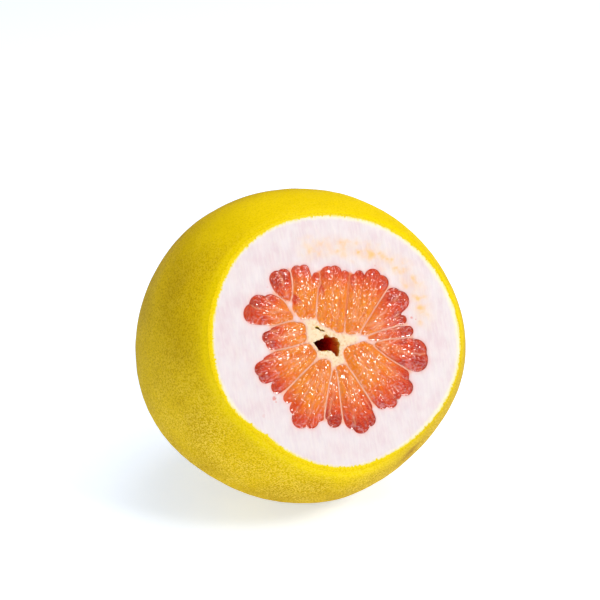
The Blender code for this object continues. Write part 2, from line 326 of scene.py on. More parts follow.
@dataclass(frozen=True)
class Segment:
    """The pulp of one segment on the cut face, in millimetres.

    Its sacs start along the inner edge, beside the core, and end in round heads at the pith.
    Both run clockwise. inner_radius and each head's third number are radii. warmth shifts its
    colour from red, at 0, to orange, at 1 or more.
    """

    inner: tuple
    inner_radius: float
    heads: tuple
    warmth: float = 0.5
    texture: Texture = Texture.LONG

    def sacs(self) -> list[tuple[Array, Array, float, float]]:
        """The main sacs, spread evenly along the inner edge.

        Returns:
            The tail, head, tail radius and head radius of each, in metres.
        """
        first, last = (np.array(end) * MM for end in (self.inner[0], self.inner[-1]))
        steps = max(len(self.heads) - 1, 1)
        return [
            (
                first + (last - first) * number / steps, np.array((x, y)) * MM,
                self.inner_radius * MM, radius * MM,
            )
            for number, (x, y, radius) in enumerate(self.heads)
        ]

    def middle(self) -> Array:
        """A point well inside the segment, which every point of its outline can be seen from."""
        tails, heads = (np.mean([sac[end] for sac in self.sacs()], axis=0) for end in (0, 1))
        return 0.42 * tails + 0.58 * heads

    def measures(self, points: Array, belly: float = 0.0) -> list[tuple]:
        """Where points lie against each sac.

        Args:
            points: Points on the cut face.
            belly: How much wider the sacs are half way along.

        Returns:
            For each sac, the points' distances from its axis, its radii there and the shares of
            its length at which they lie.
        """
        found = []
        for tail, head, tail_radius, head_radius in self.sacs():
            run = head - tail
            share = np.clip((points - tail) @ run / (run @ run), 0.0, 1.0)
            away = np.linalg.norm(points - tail - share[:, None] * run, axis=1)
            widening = belly * 4.0 * share * (1.0 - share)
            found.append((away, tail_radius + share * (head_radius - tail_radius) + widening, share))
        return found


# The 14 segments, clockwise from the left
SEGMENTS = (
    Segment(
        ((-15.2, 5.0), (-15.0, 8.8)), 2.7, ((-28.6, 4.8, 3.2), (-30.3, 7.3, 2.7), (-26.5, 8.6, 2.8)), 0.45,
    ),
    Segment(
        ((-19.0, 14.6), (-19.6, 16.2)), 1.7,
        ((-31.5, 16.8, 3.4), (-35.2, 18.6, 4.6), (-32.3, 21.9, 4.4), (-26.8, 21.9, 3.9)), 0.75,
        Texture.SMOOTH,
    ),
    Segment(((-18.5, 22.8),), 1.5, ((-22.0, 31.9, 3.6), (-18.9, 32.3, 3.6)), 0.1, Texture.SPECKLED),
    Segment(
        ((-12.7, 15.6), (-8.8, 15.0)), 2.8,
        ((-14.0, 21.0, 2.6), (-12.4, 33.7, 2.7), (-9.0, 33.8, 2.5), (-3.9, 30.2, 1.9)), 0.9, Texture.SPECKLED,
    ),
    Segment(
        ((-3.4, 11.4), (3.4, 6.6)), 2.7,
        ((-2.6, 24.0, 2.6), (1.8, 30.4, 3.6), (5.2, 30.6, 3.2), (9.6, 28.8, 2.2)), 1.0, Texture.SPECKLED,
    ),
    Segment(
        ((8.4, 5.4), (12.2, 5.2)), 2.9,
        ((13.6, 26.4, 2.3), (16.4, 27.6, 2.4), (22.6, 25.8, 4.0), (26.2, 22.9, 3.6)), 0.95, Texture.SPECKLED,
    ),
    Segment(
        ((14.6, 3.2),), 2.0,
        ((31.0, 15.6, 4.4), (33.8, 13.6, 4.6), (31.2, 8.6, 2.6), (33.8, 5.2, 2.0)), 0.5,
    ),
    Segment(((17.2, -0.3),), 1.1, ((31.5, 1.4, 1.8), (35.9, -0.3, 2.3)), 0.25, Texture.SPECKLED),
    Segment(
        ((20.4, -4.8),), 1.9,
        ((32.2, -5.2, 2.4), (38.0, -9.6, 5.2), (37.8, -13.6, 5.4), (30.6, -13.0, 2.6)), 0.45, Texture.SMOOTH,
    ),
    Segment(
        ((13.2, -4.8), (6.6, -5.8)), 3.4,
        (
            (29.6, -19.4, 3.4), (30.2, -24.9, 3.7), (25.4, -27.0, 2.6),
            (22.3, -29.9, 3.0), (17.9, -29.6, 3.0),
        ), 0.85,
    ),
    Segment(
        ((2.2, -12.0), (0.8, -12.0)), 2.1,
        ((10.6, -30.6, 2.5), (10.6, -36.0, 3.2), (6.4, -37.4, 4.2), (2.6, -35.2, 3.6)), 0.65,
    ),
    Segment(((-1.8, -12.6),), 1.2, ((-4.4, -25.0, 2.2), (-5.6, -33.4, 3.4), (-7.6, -30.5, 2.6)), 0.4),
    Segment(
        ((-5.8, -8.8), (-7.6, -8.6)), 2.6,
        (
            (-12.4, -30.2, 2.8), (-16.4, -31.6, 3.7), (-21.0, -30.2, 4.2),
            (-22.6, -25.2, 2.9), (-25.4, -20.2, 2.3),
        ), 1.1,
    ),
    Segment(
        ((-11.6, -3.2), (-13.0, -0.8)), 2.6,
        ((-29.4, -14.6, 3.0), (-34.0, -9.0, 3.4), (-35.4, -5.8, 3.3), (-31.4, -3.4, 3.0)), 0.65,
    ),
)


@dataclass(frozen=True)
class Flesh:
    """How the segments share the cut face."""

    membrane: float = 0.62 * MM
    belly: float = 1.1 * MM
    outline_points: int = 300

    def depth_outside(self, points: Array, segment: Segment) -> Array:
        """How far each point lies outside the nearest sac of a segment; below zero inside it."""
        return np.min([away - radius for away, radius, _ in segment.measures(points, self.belly)], axis=0)

    def belongs(self, points: Array, segment: Segment) -> Array:
        """Which points lie in a segment's sacs, clear of the membranes to its neighbours.

        Args:
            points: Points on the cut face.
            segment: The segment.

        Returns:
            True for each point of the segment's pulp.
        """
        own = self.depth_outside(points, segment)
        others = [self.depth_outside(points, other) for other in SEGMENTS if other is not segment]
        return (own < 0.0) & (np.min(others, axis=0) - own > self.membrane)

    def outline(self, segment: Segment) -> Array:
        """The outline of a segment's pulp on the cut face, found along rays from its middle.

        Args:
            segment: The segment.

        Returns:
            The outline's points, counterclockwise.
        """
        middle = segment.middle()
        turns = np.radians(np.arange(0.0, 360.0, 1.0))
        rays = np.stack([np.cos(turns), np.sin(turns)], axis=1)
        reach = np.zeros(len(rays))
        for step in (0.5 * MM, 0.1 * MM, 0.02 * MM):
            growing = np.full(len(rays), True)
            while growing.any():
                growing &= self.belongs(middle + (reach + step)[:, None] * rays, segment)
                reach = np.where(growing, reach + step, reach)
        return evenly_spaced(middle + reach[:, None] * rays, self.outline_points)

    def buried(self, outline: Array, start: float, end: float) -> list[Array]:
        """An outline's copies below the cut, as the segments swell.

        Args:
            outline: The outline on the cut face.
            start: Depth of the shallowest copy.
            end: Depth of the deepest copy.

        Returns:
            The copies' points, the deepest copy first.
        """
        depths = [end, *(depth for depth in reversed(SWELL_DEPTHS) if start < depth < end), start]
        swells = np.interp(depths, SWELL_DEPTHS, SWELLS)
        return [on_cut(HUB + (outline - HUB) * swell, -depth) for depth, swell in zip(depths, swells)]


FLESH = Flesh()


def on_cut(flat: Array, height: Array | float = 0.0) -> Array:
    """Points of the cut face in the fruit's axes, at one height above the cut or one for each."""
    return np.column_stack([flat, np.broadcast_to(FORM.cut_level + height, len(flat))])


class Body:
    """The points, faces and graded values of a closed piece, put together loop by loop."""

    def __init__(self) -> None:
        """Start with nothing."""
        self.points: list[Array] = []
        self.faces: list[list[int]] = []
        self.grades: dict[str, list[Array]] = {}
        self.count = 0

    def add(self, points: Array, **grades: Array | float) -> Array:
        """Add points.

        Args:
            points: Their places in the fruit's axes.
            grades: Values that the finish reads, one for all of them or one for each.

        Returns:
            The numbers of the new points.
        """
        for name in set(self.grades) | set(grades):
            known = self.grades.setdefault(name, [np.zeros(self.count)])
            known.append(np.broadcast_to(np.asarray(grades.get(name, 0.0), dtype=float), len(points)))
        self.points.append(points)
        numbers = np.arange(self.count, self.count + len(points))
        self.count += len(points)
        return numbers

    def strip(self, first: Array, second: Array) -> None:
        """A closed strip of faces between two loops of equally many points."""
        ahead = np.roll(first, -1), np.roll(second, -1)
        self.faces.extend(np.stack([first, ahead[0], ahead[1], second], axis=1).tolist())

    def carry_on(
        self, before: Array, rows: list | Array, outwards: bool = False, **grades: Array | float
    ) -> Array:
        """Strips from a loop through new ones.

        Args:
            before: The loop to start from.
            rows: The new loops' points.
            outwards: Turns the faces over.
            grades: Values that the finish reads.

        Returns:
            The last loop.
        """
        for row in rows:
            loop = self.add(row, **grades)
            self.strip(*((loop, before) if outwards else (before, loop)))
            before = loop
        return before

    def cap(self, loop: Array, point: Array, upwards: bool, **grades: Array | float) -> None:
        """Close a loop with a fan of faces to one new point."""
        self.close(loop, self.add(point[None, :], **grades)[0], upwards)

    def close(self, loop: Array, tip: int, upwards: bool) -> None:
        """A fan of faces from a loop to one point.

        Args:
            loop: The numbers of the loop's points, counterclockwise as seen from outside the cut.
            tip: The number of the point.
            upwards: Whether the faces look out of the cut.
        """
        ahead = np.roll(loop, -1)
        pair = (loop, ahead) if upwards else (ahead, loop)
        self.faces.extend(np.stack([*pair, np.full(len(loop), tip)], axis=1).tolist())

    def make(self, name: str, sharp: float = 40.0) -> bpy.types.Object:
        """The piece as an object in the scene, placed in the part's frame.

        Args:
            name: The object's name.
            sharp: Edges sharper than this many degrees stay sharp.

        Returns:
            The object.
        """
        mesh = bpy.data.meshes.new(name)
        mesh.from_pydata(FORM.placed(np.vstack(self.points)).tolist(), [], self.faces)
        for grade, values in self.grades.items():
            layer = mesh.attributes.new(grade, "FLOAT", "POINT")
            layer.data.foreach_set("value", np.concatenate(values).astype(np.float32))
        mesh.shade_smooth()
        mesh.set_sharp_from_angle(angle=math.radians(sharp))
        piece = bpy.data.objects.new(name, mesh)
        bpy.context.scene.collection.objects.link(piece)
        LOG.info("%s: %d points, %d faces", name, len(mesh.vertices), len(mesh.polygons))
        return piece


class Finish:
    """A material's nodes, with a short call for each kind that the fruit needs."""

    def __init__(self, name: str) -> None:
        """Start from a plain Principled BSDF.

        Args:
            name: The material's name.
        """
        self.material = bpy.data.materials.new(name)
        self.material.use_nodes = True
        self.tree = self.material.node_tree
        self.shader = self.tree.nodes["Principled BSDF"]
        # Places in the fruit's axes, so that every texture keeps to them
        tilt = {
            "Location": FORM.middle, "Rotation": FORM.turn(),
            "Vector": self.node("ShaderNodeTexCoord", {}, "Object"),
        }
        self.place = self.node("ShaderNodeMapping", tilt, 0, vector_type="TEXTURE")

    def node(self, kind: str, inputs: dict, output: int | str, **settings: object) -> Socket:
        """Make a node.

        Args:
            kind: Its type.
            inputs: Its inputs by name or number, each a value or a socket to link.
            output: The output that is read.
            settings: Its properties.

        Returns:
            The output's socket.
        """
        made = self.tree.nodes.new(kind)
        for name, value in settings.items():
            setattr(made, name, value)
        for name, value in inputs.items():
            self.feed(made.inputs[name], value)
        return made.outputs[output]

    def feed(self, socket: Socket, value: object) -> None:
        """Link a socket to another, or set its value.

        Args:
            socket: The input.
            value: A value or a socket to link.
        """
        if isinstance(value, Socket):
            self.tree.links.new(value, socket)
        else:
            socket.default_value = value

    def grade(self, name: str) -> Socket:
        """A value that the mesh carries."""
        return self.node("ShaderNodeAttribute", {}, "Fac", attribute_name=name)

    def sum(self, operation: str, first: object, second: object = 0.0, third: object = 0.0) -> Socket:
        """The result of one step of arithmetic."""
        return self.node("ShaderNodeMath", {0: first, 1: second, 2: third}, 0, operation=operation)

    def step(self, value: object, low: float, high: float, start: float = 0.0, end: float = 1.0) -> Socket:
        """A smooth step of a value.

        Args:
            value: The value's socket.
            low: Where the step starts.
            high: Where it ends.
            start: The result before it.
            end: The result after it.

        Returns:
            The result's socket.
        """
        inputs = {"From Min": low, "From Max": high, "To Min": start, "To Max": end, "Value": value}
        return self.node("ShaderNodeMapRange", inputs, "Result", interpolation_type="SMOOTHSTEP")

    def blend(self, share: object, first: object, second: object) -> Socket:
        """A mix of two colours."""
        return self.node("ShaderNodeMix", {0: share, 6: first, 7: second}, 2, data_type="RGBA")

    def graded(self, colour: object, **tints: tuple) -> Socket:
        """A colour under tints, each where the mesh carries the grade that it is named for.

        Args:
            colour: The colour, or its socket.
            tints: The tints by the names of their grades, the topmost last.

        Returns:
            The result's socket.
        """
        for name, tint in tints.items():
            colour = self.blend(self.grade(name), colour, tint)
        return colour

    def ramp(self, value: object, stops: tuple) -> Socket:
        """A colour that runs through stops.

        Args:
            value: The value's socket, between 0 and 1.
            stops: The (position, colour) pairs, in rising order.

        Returns:
            The colour's socket.
        """
        made = self.tree.nodes.new("ShaderNodeValToRGB")
        elements = made.color_ramp.elements
        while len(elements) < len(stops):
            elements.new(0.5)
        for element, (position, colour) in zip(elements, stops):
            element.position = position
            element.color = colour
        self.feed(made.inputs[0], value)
        return made.outputs[0]

    def stretched(self, scale: tuple[float, float, float], place: object = None) -> Socket:
        """Coordinates, scaled along each axis."""
        return self.node("ShaderNodeMapping", {"Scale": scale, "Vector": place or self.place}, 0)

    def noise(self, scale: float, detail: float = 2.0, place: object = None, rough: float = 0.5) -> Socket:
        """Cloudy noise between 0 and 1."""
        inputs = {"Scale": scale, "Detail": detail, "Roughness": rough, "Vector": place or self.place}
        return self.node("ShaderNodeTexNoise", inputs, "Fac")

    def cells(self, scale: float) -> Socket:
        """Rounded cells, read as the distance from each one's middle."""
        inputs = {"Scale": scale, "Vector": self.place}
        return self.node("ShaderNodeTexVoronoi", inputs, "Distance", feature="SMOOTH_F1")

    def bump(self, height: object, depth: float, strength: float, under: object = None) -> Socket:
        """A surface's fine relief.

        Args:
            height: The relief's socket.
            depth: How high a value of 1 stands, in metres.
            strength: How much of it shows.
            under: The normal of a coarser relief that this one lies on.

        Returns:
            The normal's socket.
        """
        inputs = {"Strength": strength, "Distance": depth, "Height": height}
        if under is not None:
            inputs["Normal"] = under
        return self.node("ShaderNodeBump", inputs, 0)

    def set(self, **values: object) -> None:
        """Set or link the shader's own sockets, named with _ for a space."""
        for name, value in values.items():
            self.feed(self.shader.inputs[name.replace("_", " ")], value)


@dataclass(frozen=True)
class RindFinish:
    """Waxy yellow skin with oil glands."""

    gold: tuple = tone(222, 184, 0)
    olive: tuple = tone(198, 160, 0)
    # Brighter yellow near the cut, and painted light over the top of the fruit
    rim_and_lit_top_yellow: tuple = tone(245, 214, 0)
    lemon: tuple = tone(236, 214, 30)
    # Painted glints on the oil glands
    gland_glint_colour: tuple = tone(240, 206, 76)
    pore: tuple = tone(150, 104, 0)
    # Painted sheen: a paler, duller yellow down the left side of the fruit
    pale: tuple = tone(204, 176, 22)
    tan: tuple = tone(194, 156, 44)
    scratch: tuple = tone(150, 100, 36)
    scar: tuple = tone(120, 88, 40)
    gland_pitch: float = 1.15 * MM

    def material(self) -> bpy.types.Material:
        """The skin: clouds of olive in gold, with glands, painted glints on them, pores and worn places, a
        painted sheen on the left and painted light over the top.

        Returns:
            The material.
        """
        look = Finish("waxy rind with oil glands")
        drift = look.noise(30.0, 3.0)
        patch = look.noise(75.0, 3.0)
        glands = look.cells(1.0 / self.gland_pitch)
        maze = look.noise(1.5 / self.gland_pitch, 1.5)
        skin = look.blend(look.step(drift, 0.36, 0.62), self.olive, self.gold)
        skin = look.blend(look.sum("MULTIPLY", look.step(patch, 0.45, 0.75), 0.35), skin, self.olive)
        # Painted light over the top and brighter yellow near the cut (near), a painted sheen down the left
        # side (pale), tan at the lower right
        skin = look.graded(skin, near=self.rim_and_lit_top_yellow, pale=self.pale, tan=self.tan)
        # Painted glints on the oil glands, more on the lower side, fewer near the cut and on the lit top
        glint_dots = look.sum("MULTIPLY", look.step(maze, 0.46, 0.62), look.step(patch, 0.35, 0.6, 0.4, 0.8))
        glint_dots = look.sum("MULTIPLY", glint_dots, look.grade("speckled"))
        skin = look.blend(glint_dots, skin, self.gland_glint_colour)
        # Dark pores, fewer under the painted top light and near the cut
        pores = look.sum("MAXIMUM", look.step(maze, 0.5, 0.34), look.step(glands, 0.34, 0.1))
        pores = look.sum("MULTIPLY", pores, look.step(look.grade("near"), 0.1, 0.8, 0.42, 0.16))
        skin = look.graded(look.blend(pores, skin, self.pore), edge=self.lemon)
        lines = look.step(look.noise(1.0, 2.0, look.stretched((90.0, 90.0, 1100.0))), 0.46, 0.56)
        skin = look.blend(look.sum("MULTIPLY", lines, look.grade("scratch")), skin, self.scratch)
        fleck = look.step(look.noise(170.0, 4.0, rough=0.7), 0.66, 0.73)
        skin = look.graded(look.blend(look.sum("MULTIPLY", fleck, 0.2), skin, self.scar), scar=self.scar)
        pits = look.bump(look.sum("ADD", maze, look.sum("MULTIPLY", glands, -0.6)), 0.3 * MM, 0.5)
        relief = look.bump(look.noise(120.0, 3.0), 0.5 * MM, 0.25, pits)
        look.set(
            Base_Color=skin,
            Roughness=look.step(drift, 0.3, 0.7, 0.36, 0.46),
            Normal=relief,
            Specular_IOR_Level=0.0,
            Coat_Weight=0.08,
            Coat_Roughness=0.32,
        )
        return look.material


@dataclass(frozen=True)
class PithFinish:
    """Soft white pith with knife marks, juice stains and a dark hollow core."""

    white: tuple = tone(226, 213, 211)
    cream: tuple = tone(238, 230, 200)
    knife: tuple = tone(232, 222, 214)
    rind: tuple = tone(240, 214, 40)
    pink: tuple = tone(222, 201, 201)
    stain: tuple = tone(238, 190, 128)
    juicy: tuple = tone(238, 174, 146)
    merged: tuple = tone(222, 106, 40)
    blush: tuple = tone(238, 172, 158)
    core: tuple = tone(238, 214, 176)
    tear: tuple = tone(222, 178, 122)
    fleck: tuple = tone(214, 84, 54)
    # Painted shade down the core hollow: orange just below the cut, deep red further in
    wall: tuple = tone(210, 108, 28)
    deep: tuple = tone(240, 36, 8)
    # Bits of juice on the pith: (place on the cut face in millimetres, size, share)
    flecks: tuple = (
        ((-31.8, -19.4), 0.9, 0.6), ((-31.2, -21.0), 0.4, 0.45), ((38.2, 5.4), 0.5, 0.6),
        ((40.2, 4.4), 0.3, 0.5), ((41.4, 3.2), 0.25, 0.4), ((-38.0, -26.0), 0.7, 0.14),
        ((-27.0, 29.0), 0.4, 0.25), ((24.6, 31.0), 0.3, 0.3),
    )

    def material(self) -> bpy.types.Material:
        """The pith: white with knife strokes, a cream fringe at the rind, stains and a dark core.

        Returns:
            The material.
        """
        look = Finish("soft white pith")
        strokes = look.noise(1.0, 3.0, look.stretched((1100.0, 190.0, 190.0)))
        cloud = look.noise(110.0, 3.0)
        fibre = look.noise(650.0, 2.0)
        pith = look.blend(look.step(cloud, 0.35, 0.7), self.white, self.pink)
        pith = look.blend(look.sum("MULTIPLY", look.step(strokes, 0.4, 0.65), 0.38), pith, self.knife)
        edge = look.sum("ADD", look.grade("rim"), look.sum("MULTIPLY", look.noise(520.0, 2.0), 1.6))
        pith = look.blend(look.step(edge, 5.4, 3.0), pith, self.cream)
        spots = look.step(look.noise(240.0, 3.0), 0.45, 0.68, 0.5, 1.4)
        pith = look.blend(look.sum("MULTIPLY", look.grade("stain"), spots), pith, self.stain)
        torn = look.sum("MULTIPLY", look.step(look.noise(900.0, 3.0), 0.5, 0.66), 0.7)
        pith = look.blend(look.grade("core"), pith, look.blend(torn, self.core, self.tear))
        pith = look.graded(pith, blush=self.blush, juicy=self.juicy, merged=self.merged)
        fibres = look.noise(1.0, 2.0, look.stretched((1000.0, 260.0, 260.0)))
        jagged = look.sum("MULTIPLY_ADD", fibres, 2.6, look.grade("gap"))
        pith = look.blend(look.step(jagged, 2.8, 1.2, 0.0, 0.85), pith, self.rind)
        for (right, up), size, share in self.flecks:
            ends = {0: look.place, 1: (right * MM, up * MM, FORM.cut_level)}
            away = look.node("ShaderNodeVectorMath", ends, "Value", operation="DISTANCE")
            ragged = look.sum("MULTIPLY_ADD", look.noise(1500.0), 1.6 * MM, away)
            spot = look.step(ragged, (size + 1.0) * MM, (size + 0.6) * MM, 0.0, share)
            pith = look.blend(spot, pith, self.fleck)
        # Painted shade in the core hollow, darker further in
        pith = look.graded(pith, shade=self.wall, dark=self.deep)
        marks = look.bump(strokes, 0.25 * MM, 0.35)
        look.set(
            Base_Color=pith,
            Roughness=look.step(fibre, 0.3, 0.7, 0.55, 0.75),
            Normal=look.bump(fibre, 0.12 * MM, 0.3, marks),
            Subsurface_Weight=0.2,
            Subsurface_Radius=(1.0, 0.8, 0.7),
            Subsurface_Scale=1.5 * MM,
            Specular_IOR_Level=0.3,
        )
        return look.material


@dataclass(frozen=True)
class PulpFinish:
    """Wet, translucent juice sacs, from orange beside the core to deep red at their heads."""

    orange: tuple = tone(230, 128, 4)
    amber: tuple = tone(224, 102, 8)
    salmon: tuple = tone(212, 72, 14)
    red: tuple = tone(200, 48, 10)
    crimson: tuple = tone(170, 30, 4)
    # Painted shade: a darker red laid into the creases between sacs
    crease: tuple = tone(206, 66, 6)
    veil: tuple = tone(244, 172, 126)

    def material(self) -> bpy.types.Material:
        """The pulp: a colour for each share of the way from core to heads, veined, wet and with painted shade
        in the creases between sacs.

        Returns:
            The material.
        """
        look = Finish("wet pink pulp")
        ways = {number: look.grade(name) for number, name in enumerate(("across", "along", "own"))}
        fan = look.stretched((1.6, 0.22, 9.0), look.node("ShaderNodeCombineXYZ", ways, 0))
        streaks = look.noise(1.0, 3.0, fan, 0.6)
        cloud = look.noise(260.0, 2.0)
        ripe = look.sum("ADD", look.grade("reach"), look.sum("MULTIPLY_ADD", cloud, 0.3, -0.15))
        ripe = look.sum("ADD", ripe, look.sum("MULTIPLY_ADD", look.grade("own"), 0.16, -0.08))
        pulp = look.ramp(ripe, (
            (0.0, self.orange), (0.3, self.amber), (0.58, self.salmon), (0.82, self.red), (1.0, self.crimson),
        ))
        # Painted shade in the creases between sacs
        pulp = look.blend(look.sum("MULTIPLY", look.grade("crease"), 0.7), pulp, self.crease)
        line = look.step(look.sum("ABSOLUTE", look.sum("SUBTRACT", streaks, 0.5)), 0.03, 0.0)
        pulp = look.graded(look.blend(look.sum("MULTIPLY", line, 0.34), pulp, self.veil), veil=self.veil)
        grain = look.noise(900.0)
        swell = look.bump(look.sum("SUBTRACT", 1.0, look.cells(620.0)), 0.3 * MM, 0.5)
        wet = look.bump(streaks, 0.25 * MM, 0.4, swell)
        look.set(
            Base_Color=pulp,
            Roughness=look.step(grain, 0.3, 0.7, 0.3, 0.5),
            Normal=look.bump(grain, 0.08 * MM, 0.2, wet),
            Subsurface_Weight=0.12,
            Subsurface_Radius=(1.0, 0.3, 0.1),
            Subsurface_Scale=2.0 * MM,
            Specular_IOR_Level=0.1,
            Coat_Weight=look.step(look.noise(900.0), 0.46, 0.54, 0.04, 1.0),
            Coat_Roughness=0.02,
            Coat_IOR=1.95,
        )
        return look.material


@dataclass
class Rind:
    """The yellow skin: a thin shell, open at the slice and flat where the fruit rests."""

    columns: int = 760
    rows: int = 96
    inner_rows: int = 24
    thickness: float = 2.1 * MM
    inset: float = 0.2 * MM
    dent: float = 0.28 * MM
    teeth: float = 0.7 * MM
    edge_round: float = 0.45 * MM
    # A shallow valley near the rim and a scratched place: (middle in millimetres, spread, strength)
    valley: tuple = ((-53.0, -31.0, 37.0), 8.0 * MM, 0.7 * MM)
    scratched: tuple = ((32.5, -55.5, 38.5), 6.5 * MM, 0.9)
    finish: RindFinish = field(default_factory=RindFinish)

    def patch(self, points: Array, place: tuple) -> Array:
        """The strength of a soft round patch, such as the valley, at points of the skin."""
        middle, spread, strength = place
        return strength * bell(np.linalg.norm(points - np.array(middle) * MM, axis=1), spread)

    def tanned(self, points: Array) -> Array:
        """How near points lie to the tan lower right of the fruit."""
        return eased(points[:, 0] - points[:, 1], 58.0 * MM, 92.0 * MM)

    def relief(self, points: Array) -> Array:
        """How far the skin lies below its smooth form.

        Args:
            points: Points of the skin.

        Returns:
            The depths in metres.
        """
        broad = ripples(points, 24.0 * MM, 3)
        fine = ripples(points, 7.0 * MM, 4)
        waves = self.dent * (0.5 - 0.32 * broad) + 0.05 * MM * (1.0 - fine)
        return waves + self.patch(points, self.valley)

    def marks(self, points: Array) -> dict[str, Array]:
        """Grades of the skin's places: brighter near the cut with painted light over the top, a painted sheen
        on the left, tan, painted gland glints, scratches and the scar.

        Args:
            points: Points of the skin.

        Returns:
            The grades by name.
        """
        pole = np.linalg.norm(points[:, :2], axis=1)
        scar = np.where(points[:, 2] < 0.0, 0.9 * bell(pole, 2.6 * MM), 0.0)
        # near: brighter yellow within a few millimetres of the cut, raised by painted light over the top of
        # the fruit (high)
        near = np.exp(-np.clip(FORM.cut_level - points[:, 2], 0.0, None) / (5.0 * MM))
        high = eased(points[:, 1] + 0.2 * points[:, 0], 16.0 * MM, 54.0 * MM)
        near = np.maximum(near, 0.75 * high * eased(points[:, 2], -10.0 * MM, 30.0 * MM))
        # Share of painted gland glints, more towards the bottom
        speckled = 0.35 + 0.65 * eased(-points[:, 1], -10.0 * MM, 45.0 * MM)
        return {
            "scar": scar,
            # pale: painted sheen down the left side
            "pale": 0.4 * eased(-points[:, 0], 45.0 * MM, 78.0 * MM),
            "tan": 0.8 * self.tanned(points),
            "near": near,
            "scratch": self.patch(points, self.scratched),
            "speckled": speckled * (1.0 - 0.75 * near),
        }

    def build(self) -> bpy.types.Object:
        """Model the rind.

        Returns:
            The rind's object.
        """
        body = Body()
        skin = FORM.bowl(self.columns, self.rows, self.inset)
        tip = body.add(np.array([[0.0, 0.0, skin[0, 0, 2]]]), scar=0.9)[0]
        before = None
        for number, row in enumerate(skin):
            length = np.linalg.norm(row, axis=1)
            row = row * (1.0 - self.relief(row) / length)[:, None]
            if number == self.rows - 1:
                row = row * ((FORM.cut_level - self.edge_round) / row[:, 2])[:, None]
            loop = body.add(row, **self.marks(row))
            if before is None:
                body.close(loop, tip, upwards=False)
            else:
                body.strip(before, loop)
            before = loop
        rim = row[:, :2]
        lining = FORM.bowl(self.columns, self.inner_rows, self.thickness)[::-1]
        inner = lining[0][:, :2]
        spikes = np.clip(ripples(inner, 1.25 * MM, 5), 0.0, 1.5) ** 1.5
        teeth = self.teeth * (0.45 + 0.8 * spikes + 0.3 * ripples(inner, 6.0 * MM, 6))
        jagged = drawn_in(inner, np.maximum(teeth, 0.1 * MM)[:, None])
        for flat, height, edge in (
            (drawn_in(rim, 0.3 * self.edge_round), -0.3 * self.edge_round, 0.0),
            (drawn_in(rim, self.edge_round), 0.0, 0.0),
            (0.35 * rim + 0.65 * jagged, 0.0, 0.15),
            (jagged, 0.0, 0.8),
            (jagged, -0.02 * MM, 0.8),
            (inner, -0.03 * MM, 0.0),
        ):
            # The band on the cut takes some of the brighter yellow and of the painted gland glints
            tan = 0.5 * self.tanned(flat)
            before = body.carry_on(before, [on_cut(flat, height)], near=0.6, speckled=0.3, edge=edge, tan=tan)
        before = body.carry_on(before, lining[1:])
        body.cap(before, np.array((0.0, 0.0, lining[-1][0, 2])), upwards=True)
        rind = body.make("rind_skin")
        rind.data.materials.append(self.finish.material())
        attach(rind, "root")
        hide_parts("rind")
        return rind


